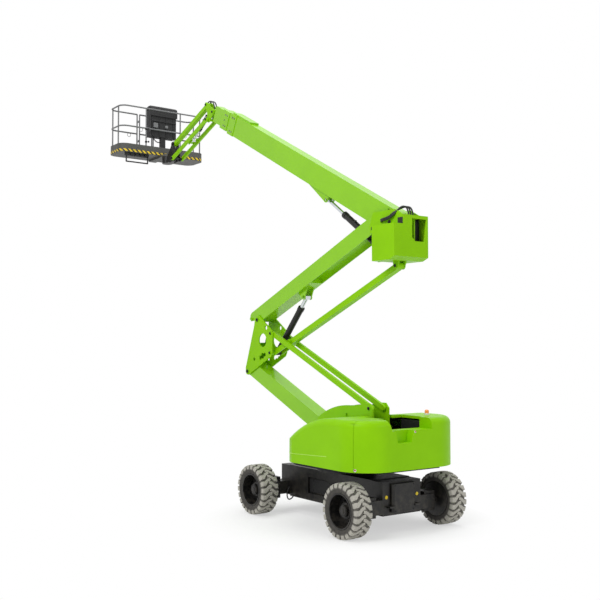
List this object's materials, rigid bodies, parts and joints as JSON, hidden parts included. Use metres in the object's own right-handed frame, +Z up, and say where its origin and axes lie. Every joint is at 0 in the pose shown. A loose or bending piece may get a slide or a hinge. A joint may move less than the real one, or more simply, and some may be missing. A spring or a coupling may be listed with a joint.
{
  "type": "articulated boom lift",
  "caption": "Self-propelled articulated boom lift: black four-wheel chassis, slewing turret, folding lime-green booms, telescopic main boom, jib and railed cage.",
  "frame": {"origin": "on the ground under the slewing axis, midway between the axles and on the centre plane", "axes": "+X forward towards the cage, +Y to the machine's left, +Z up"},
  "size_m": [10.0139, 2.49, 9.1731],
  "materials": {
    "green_paint": "glossy lime-green paint",
    "black_paint": "satin black paint",
    "black_plastic": "matt black moulding",
    "tread_rubber": "light grey non-marking rubber",
    "chromed_rod": "polished chrome",
    "grey_paint": "satin grey paint",
    "amber_lens": "clear amber lens"
  },
  "bodies": {
    "canopy_right": {"canopy_right": "green_paint", "beacon": "amber_lens"},
    "chassis": {"chassis_frame": "black_paint", "front_axle": "black_paint", "rear_axle": "black_paint", "slew_ring": "black_paint"},
    "steer_left": {"steer_knuckle_left": "black_paint"},
    "steer_right": {"steer_knuckle_right": "black_paint"},
    "turret": {"turret_base": "green_paint", "counterweight": "green_paint", "engine_block": "black_paint", "battery_pack": "black_plastic"},
    "cage": {"cage_floor": "grey_paint", "cage_rails": "grey_paint", "cage_console": "black_plastic", "cage_step": "black_paint"},
    "wheel_front_left": {"rim_front_left": "black_paint", "tyre_front_left": "tread_rubber"},
    "wheel_front_right": {"rim_front_right": "black_paint", "tyre_front_right": "tread_rubber"},
    "wheel_rear_left": {"rim_rear_left": "black_paint", "tyre_rear_left": "tread_rubber"},
    "wheel_rear_right": {"rim_rear_right": "black_paint", "tyre_rear_right": "tread_rubber"},
    "canopy_left": {"canopy_left": "green_paint"},
    "lower_boom": {"lower_boom": "green_paint"},
    "elbow": {"elbow": "green_paint"},
    "lower_ties": {"lower_ties": "green_paint"},
    "riser": {"riser": "green_paint"},
    "riser_barrel": {"riser_barrel": "black_paint"},
    "riser_rod": {"riser_rod": "chromed_rod"},
    "upper_tie": {"upper_tie": "green_paint"},
    "knuckle": {"knuckle": "green_paint"},
    "boom_barrel": {"boom_barrel": "black_paint"},
    "boom_rod": {"boom_rod": "chromed_rod"},
    "boom_outer": {"boom_outer": "green_paint"},
    "boom_mid": {"boom_mid": "green_paint"},
    "boom_inner": {"boom_inner": "green_paint"},
    "boom_head": {"boom_head": "green_paint"},
    "jib_lower_arms": {"jib_lower_arms": "green_paint"},
    "jib_upper_arm": {"jib_upper_arm": "green_paint"},
    "jib_barrel": {"jib_barrel": "black_paint"},
    "jib_rod": {"jib_rod": "chromed_rod"},
    "cage_mount": {"cage_mount": "black_paint"},
    "cage_gate": {"cage_gate": "grey_paint"}
  },
  "joints": [
    {"name": "slew", "type": "hinge", "parent": "chassis", "child": "turret", "pos_m": [0, 0, 0.985], "axis": [0, 0, 1], "range_deg": [-177.5, 177.5]},
    {"name": "steer_left", "type": "hinge", "parent": "chassis", "child": "steer_left", "pos_m": [1.345, 0.79, 0.46], "axis": [0, 0, 1], "range_deg": [-32, 32]},
    {"name": "steer_right", "type": "hinge", "parent": "chassis", "child": "steer_right", "pos_m": [1.345, -0.79, 0.46], "axis": [0, 0, 1], "range_deg": [-32.01, 32.01]},
    {"name": "spin_front_left", "type": "hinge", "parent": "steer_left", "child": "wheel_front_left", "pos_m": [1.345, 1.0725, 0.46], "axis": [0, 1, 0], "continuous": true},
    {"name": "spin_front_right", "type": "hinge", "parent": "steer_right", "child": "wheel_front_right", "pos_m": [1.345, -1.0725, 0.46], "axis": [0, 1, 0], "continuous": true},
    {"name": "spin_rear_left", "type": "hinge", "parent": "chassis", "child": "wheel_rear_left", "pos_m": [-1.345, 1.0725, 0.46], "axis": [0, 1, 0], "continuous": true},
    {"name": "spin_rear_right", "type": "hinge", "parent": "chassis", "child": "wheel_rear_right", "pos_m": [-1.345, -1.0725, 0.46], "axis": [0, 1, 0], "continuous": true},
    {"name": "open_canopy_left", "type": "hinge", "parent": "turret", "child": "canopy_left", "pos_m": [-0.77, 0.25, 1.895], "axis": [1, 0, 0], "range_deg": [0, 60]},
    {"name": "open_canopy_right", "type": "hinge", "parent": "turret", "child": "canopy_right", "pos_m": [-0.77, -0.25, 1.895], "axis": [-1, 0, 0], "range_deg": [0, 60]},
    {"name": "raise_lower_boom", "type": "hinge", "parent": "turret", "child": "lower_boom", "pos_m": [0, 0, 1.27], "axis": [0, -1, 0], "range_deg": [-27.3, 48.7]},
    {"name": "elbow_level", "type": "hinge", "parent": "lower_boom", "child": "elbow", "pos_m": [3.10435, 0, 2.60694], "axis": [0, -1, 0], "range_deg": [-48.71, 27.31]},
    {"name": "swing_lower_ties", "type": "hinge", "parent": "turret", "child": "lower_ties", "pos_m": [-0.86, 0, 2.06], "axis": [0, -1, 0], "range_deg": [-27.31, 48.71]},
    {"name": "raise_riser", "type": "hinge", "parent": "elbow", "child": "riser", "pos_m": [2.73435, 0, 3.68194], "axis": [0, 1, 0], "range_deg": [-14.3, 49.7]},
    {"name": "knuckle_level", "type": "hinge", "parent": "riser", "child": "knuckle", "pos_m": [-0.98499, 0, 5.20736], "axis": [0, 1, 0], "range_deg": [-49.71, 14.31]},
    {"name": "swing_upper_tie", "type": "hinge", "parent": "elbow", "child": "upper_tie", "pos_m": [2.26435, 0, 3.00194], "axis": [0, 1, 0], "range_deg": [-14.31, 49.71]},
    {"name": "riser_cylinder_swing", "type": "hinge", "parent": "elbow", "child": "riser_barrel", "pos_m": [2.26435, 0, 3.00194], "axis": [0, 1, 0], "range_deg": [-11.31, 39.27]},
    {"name": "riser_cylinder_stroke", "type": "slide", "parent": "riser_barrel", "child": "riser_rod", "axis": [-0.6831, 0, 0.7303], "range_m": [-0.183, 0.632]},
    {"name": "raise_main_boom", "type": "hinge", "parent": "knuckle", "child": "boom_outer", "pos_m": [-1.42999, 0, 5.26936], "axis": [0, -1, 0], "range_deg": [-20, 38]},
    {"name": "boom_cylinder_swing", "type": "hinge", "parent": "knuckle", "child": "boom_barrel", "pos_m": [-1.20999, 0, 4.70736], "axis": [0, -1, 0], "range_deg": [-18.01, 34.21]},
    {"name": "boom_cylinder_stroke", "type": "slide", "parent": "boom_barrel", "child": "boom_rod", "axis": [0.8196, 0, 0.573], "range_m": [-0.186, 0.353]},
    {"name": "extend_mid_section", "type": "slide", "parent": "boom_outer", "child": "boom_mid", "axis": [0.8878, 0, 0.4602], "range_m": [0, 4.2]},
    {"name": "extend_inner_section", "type": "slide", "parent": "boom_mid", "child": "boom_inner", "axis": [0.8878, 0, 0.4602], "range_m": [-0.001, 4.201]},
    {"name": "head_level", "type": "hinge", "parent": "boom_inner", "child": "boom_head", "pos_m": [4.83798, 0, 8.51837], "axis": [0, -1, 0], "range_deg": [-38.01, 20.01]},
    {"name": "raise_jib", "type": "hinge", "parent": "boom_head", "child": "jib_lower_arms", "pos_m": [5.01798, 0, 8.37037], "axis": [0, -1, 0], "range_deg": [-45, 52]},
    {"name": "swing_jib_upper", "type": "hinge", "parent": "boom_head", "child": "jib_upper_arm", "pos_m": [5.13998, 0, 8.75037], "axis": [0, -1, 0], "range_deg": [-45.01, 52.01]},
    {"name": "cage_level", "type": "hinge", "parent": "jib_lower_arms", "child": "cage_mount", "pos_m": [6.68417, 0, 7.74409], "axis": [0, -1, 0], "range_deg": [-52.01, 45.01]},
    {"name": "jib_cylinder_swing", "type": "hinge", "parent": "boom_head", "child": "jib_barrel", "pos_m": [5.04798, 0, 8.56037], "axis": [0, -1, 0], "range_deg": [-42.31, 48.89]},
    {"name": "jib_cylinder_stroke", "type": "slide", "parent": "jib_barrel", "child": "jib_rod", "axis": [0.8485, 0, -0.5292], "range_m": [-0.147, 0.127]},
    {"name": "turn_cage", "type": "hinge", "parent": "cage_mount", "child": "cage", "pos_m": [7.21417, 0, 7.84409], "axis": [0, 0, 1], "range_deg": [-90, 90]},
    {"name": "open_gate", "type": "hinge", "parent": "cage", "child": "cage_gate", "pos_m": [8.14917, 0.362, 8.53409], "axis": [0, 0, -1], "range_deg": [0, 60]}
  ],
  "couplings": [
    {"joint": "steer_right", "follows": "steer_left", "ratio": 1},
    {"joint": "elbow_level", "follows": "raise_lower_boom", "ratio": -1},
    {"joint": "swing_lower_ties", "follows": "raise_lower_boom", "ratio": 1},
    {"joint": "knuckle_level", "follows": "raise_riser", "ratio": -1},
    {"joint": "swing_upper_tie", "follows": "raise_riser", "ratio": 1},
    {"joint": "riser_cylinder_swing", "follows": "raise_riser", "ratio": 0.79},
    {"joint": "riser_cylinder_stroke", "follows": "raise_riser", "m_per_rad": 0.72766},
    {"joint": "boom_cylinder_swing", "follows": "raise_main_boom", "ratio": 0.9},
    {"joint": "boom_cylinder_stroke", "follows": "raise_main_boom", "m_per_rad": 0.53113},
    {"joint": "extend_inner_section", "follows": "extend_mid_section", "ratio": 1},
    {"joint": "head_level", "follows": "raise_main_boom", "ratio": -1},
    {"joint": "swing_jib_upper", "follows": "raise_jib", "ratio": 1},
    {"joint": "cage_level", "follows": "raise_jib", "ratio": -1},
    {"joint": "jib_cylinder_swing", "follows": "raise_jib", "ratio": 0.94},
    {"joint": "jib_cylinder_stroke", "follows": "raise_jib", "m_per_rad": -0.16043}
  ]
}
